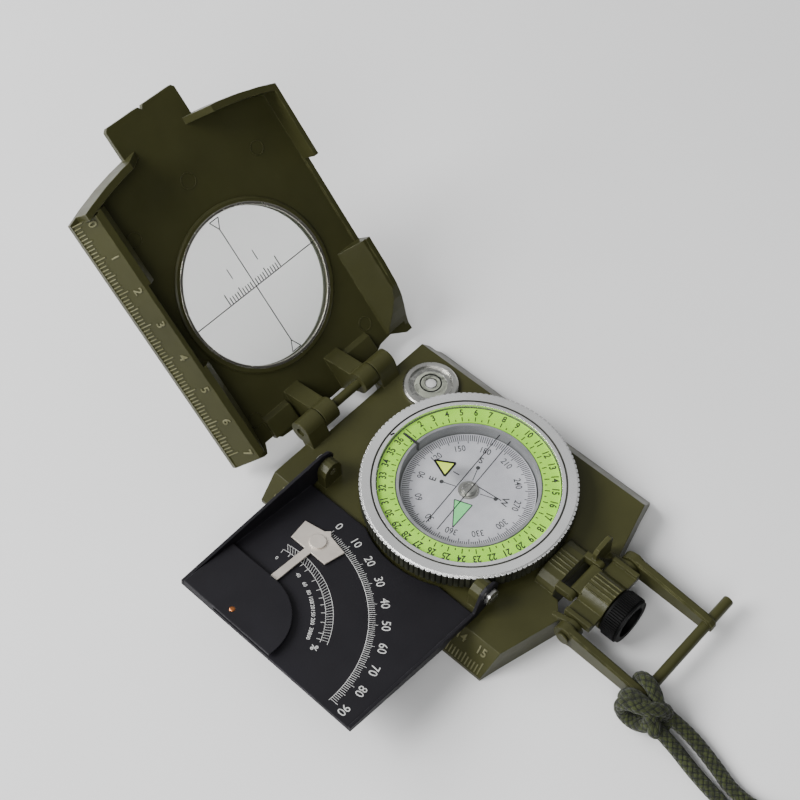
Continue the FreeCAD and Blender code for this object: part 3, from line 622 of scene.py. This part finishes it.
def rulers():
    """Millimetre rulers cast on the lid's and the base's left edges."""
    run = math.hypot(4.5, 7.1)
    slope = LID @ shift(-32.9, 0, -9.9) @ turn("Y", -math.degrees(math.atan2(7.1, 4.5)))
    bars = bmesh.new()
    for count in range(RULER_MARKS):
        s = 74.8 - count
        bar(bars, slope, (0.5, s), (0.5 + tick_length(count), s), 0.28, -0.02, 0.22)
    for number in range(8):
        spot = slope @ shift(run - 2.2, 74.8 - 10 * number - (1.2 if number else 1.5), 0) @ turn("Z", -90)
        write(bars, spot, str(number), 3.3, 0.0, 0.24)
    emit(bars, "lid_ruler", raised_olive, "lid")

    foot = math.hypot(5.4, 6.8)
    slope = shift(-33.4, 0, 1.2) @ turn("Y", -math.degrees(math.atan2(6.8, 5.4)))
    bars = bmesh.new()
    for count in range(RULER_MARKS):
        y = 37.9 - count
        bar(bars, slope, (0.5, y), (0.5 + tick_length(count), y), 0.28, -0.02, 0.22)
    for number in range(8):
        beside = 1.8 if number < 7 else -1.8
        spot = slope @ shift(foot - 2.6, 37.9 - 10 * number - beside, 0) @ turn("Z", -90)
        write(bars, spot, str(number + 8), 3.1, 0.0, 0.24)
    emit(bars, "base_ruler", raised_olive, "base")


def reticle():
    """Hairline, cross line, small scale and triangles in the lid window."""
    place = LID
    lines = bmesh.new()
    bar(lines, place, (0, 18.1), (0, 52.8), 0.26, PANE_LOW, PANE_HIGH)
    bar(lines, place, (-20.7, 35.2), (20.7, 35.2), 0.26, PANE_LOW, PANE_HIGH)
    for step in range(-10, 11):
        reach = 3.4 if abs(step) == 10 else (2.7 if step % 5 == 0 else 1.9)
        bar(lines, place, (0.9 * step, 35.2), (0.9 * step, 35.2 + reach), 0.27, PANE_LOW, PANE_HIGH)
    for x in (-4.5, 4.5):
        bar(lines, place, (x, 40.5), (x, 43.5), 0.22, PANE_LOW, PANE_HIGH)
    for tip, base in ((52.8, 55.6), (18.1, 15.3)):
        bar(lines, place, (0, tip), (-1.5, base), 0.25, PANE_LOW, PANE_HIGH)
        bar(lines, place, (-1.5, base), (1.5, base), 0.25, PANE_LOW, PANE_HIGH)
        bar(lines, place, (0, tip), (1.5, base), 0.25, PANE_LOW, PANE_HIGH)
    emit(lines, "window_lines", ink, "lid")
    bead = bmesh.new()
    hoop(bead, place @ shift(0, 35.5, 0), 20.9, 21.75, -8.75, -8.35)
    emit(bead, "window_bead", bright_steel, "lid", 0.00012)
    rings = bmesh.new()
    casts = ((-21.0, 63.5, 2.0), (21.5, 64.0, 2.0), (-21.0, 7.5, 2.0), (21.0, 8.5, 2.0), (0, 67.5, 2.2))
    for x, s, radius in casts:
        hoop(rings, place @ shift(x, s, 0), radius - 0.22, radius, -9.2, -9.08, count=40)
    emit(rings, "lid_cast_rings", olive, "lid")


def tray_scales():
    """Degree arc, hatched gradient arc and their figures on the tray."""
    top = TRAY_TOP + PRINT
    centre = TRAY @ shift(-45.1, 16.9, 0)
    marks = bmesh.new()
    hoop(marks, centre, 32.15, 32.3, TRAY_TOP, top, -1.0, -91.0, 90)
    for degree in range(0, 91):
        reach = 2.2 if degree % 10 == 0 else (1.85 if degree % 5 == 0 else 1.5)
        bar(marks, centre, polar(32.3, -degree), polar(32.3 + reach, -degree), 0.13, TRAY_TOP, top)
    for number in range(0, 91, 10):
        spot = centre @ turn("Z", -number) @ shift(36.3, 0, TRAY_TOP) @ turn("Z", -90)
        write(marks, spot, str(number), 3.1, 0.0, 0.03, 0.95, 0.0)

    first, last = 12.0, -66.0
    for inner, outer in ((23.75, 23.9), (21.95, 22.1)):
        hoop(marks, centre, inner, outer, TRAY_TOP, top, first, last, 70)
    for step in range(40):
        angle = first - 1.95 * step
        lean = 3.5 * (1 - step / 39)
        bar(marks, centre, polar(23.8, angle), polar(22.0, angle - lean), 0.11, TRAY_TOP, top)
    for percent in (0, 10, 20, 30, 40, 60, 80, 100, 120, 150, 200, 300, 400):
        angle = first - math.degrees(math.atan(percent / 100))
        bar(marks, centre, polar(22.0, angle), polar(20.9, angle), 0.15, TRAY_TOP, top)
        if percent % 20 == 0 or percent == 150:
            spot = centre @ turn("Z", angle) @ shift(19.0, 0, TRAY_TOP) @ turn("Z", -90)
            write(marks, spot, str(percent), 1.35, 0.0, 0.03, 1.0, 0.006)
    spot = centre @ turn("Z", last - 5.0) @ shift(21.3, 0, TRAY_TOP) @ turn("Z", -90)
    write(marks, spot, "%", 2.4, 0.0, 0.03)
    emit(marks, "tray_figures", white_ink, "tray")


def vial():
    """Black centring ring, a painted-shade dark rim round the bubble, and the bubble of the level."""
    place = shift(19.0, 29.8, 0)
    ring = bmesh.new()
    hoop(ring, place, 2.6, 3.0, 9.48, 9.53, count=48)
    # Painted shade: a thin black ring round the bubble's edge stands in for its dark rim.
    hoop(ring, place @ shift(0.3, 0.2, 0), 1.5, 1.66, 8.95, 9.0, count=40)
    emit(ring, "vial_ring_and_painted_bubble_rim", ink, "base")
    bubble = bmesh.new()
    bmesh.ops.create_uvsphere(bubble, u_segments=24, v_segments=12, radius=mm(1.6),
                              matrix=place @ shift(0.3, 0.2, 8.65) @ Matrix.Diagonal((1, 1, 0.18, 1)))
    for face in bubble.faces:
        face.smooth = True
    emit(bubble, "vial_bubble", white_ink, "base")


dial()
card()
rulers()
reticle()
tray_scales()
vial()


# ---------------------------------------------------------------- floor and light

def stage():
    floor = bmesh.new()
    bmesh.ops.create_grid(floor, x_segments=1, y_segments=1, size=1.5)
    mesh = bpy.data.meshes.new("floor")
    floor.to_mesh(mesh)
    floor.free()
    surface = Paint("pale_table")
    tone = surface.mix(surface.span(surface.noise(6.0), 0.3, 0.7), srgb("dedede"), srgb("e4e4e4"))
    surface.link(tone, surface.shader.inputs["Base Color"])
    surface.fixed(rough=0.7)
    mesh.materials.append(surface.material)
    piece = link("floor", mesh)
    piece.location = (0, 0, -0.0001)


def lamp(name, place, target, width, height, power):
    light = bpy.data.lights.new(name, "AREA")
    light.shape = "RECTANGLE"
    light.size = width
    light.size_y = height
    light.energy = power
    item = bpy.data.objects.new(name, light)
    item.location = place
    item.rotation_euler = (Vector(target) - Vector(place)).to_track_quat("-Z", "Y").to_euler()
    bpy.context.scene.collection.objects.link(item)


def room():
    """Pale studio that is brighter behind and above the table than in front of it."""
    world = bpy.data.worlds.new("studio")
    world.use_nodes = True
    tree = world.node_tree
    place = tree.nodes.new("ShaderNodeTexCoord").outputs["Generated"]
    toward = tree.nodes.new("ShaderNodeVectorMath")
    toward.operation = "DOT_PRODUCT"
    toward.inputs[1].default_value = (0.3, 0.55, 0.5)
    tree.links.new(place, toward.inputs[0])
    fade = tree.nodes.new("ShaderNodeMapRange")
    fade.interpolation_type = "SMOOTHSTEP"
    for key, value in (("From Min", -0.2), ("From Max", 0.7), ("To Min", 0.06), ("To Max", 0.55)):
        fade.inputs[key].default_value = value
    tree.links.new(toward.outputs["Value"], fade.inputs["Value"])
    tree.links.new(fade.outputs["Result"], tree.nodes["Background"].inputs["Strength"])
    tree.nodes["Background"].inputs["Color"].default_value = (0.88, 0.89, 0.9, 1)
    bpy.context.scene.world = world


stage()
lamp("key", (-0.75, 0.55, 0.85), (0, 0, 0), 0.6, 0.6, 22.0)
lamp("fill", (-0.75, -0.45, 0.75), (0, 0, 0), 0.6, 0.6, 8.0)
lamp("back", (-0.2, 0.95, 0.6), (0, 0, 0), 0.6, 0.4, 6.0)
room()
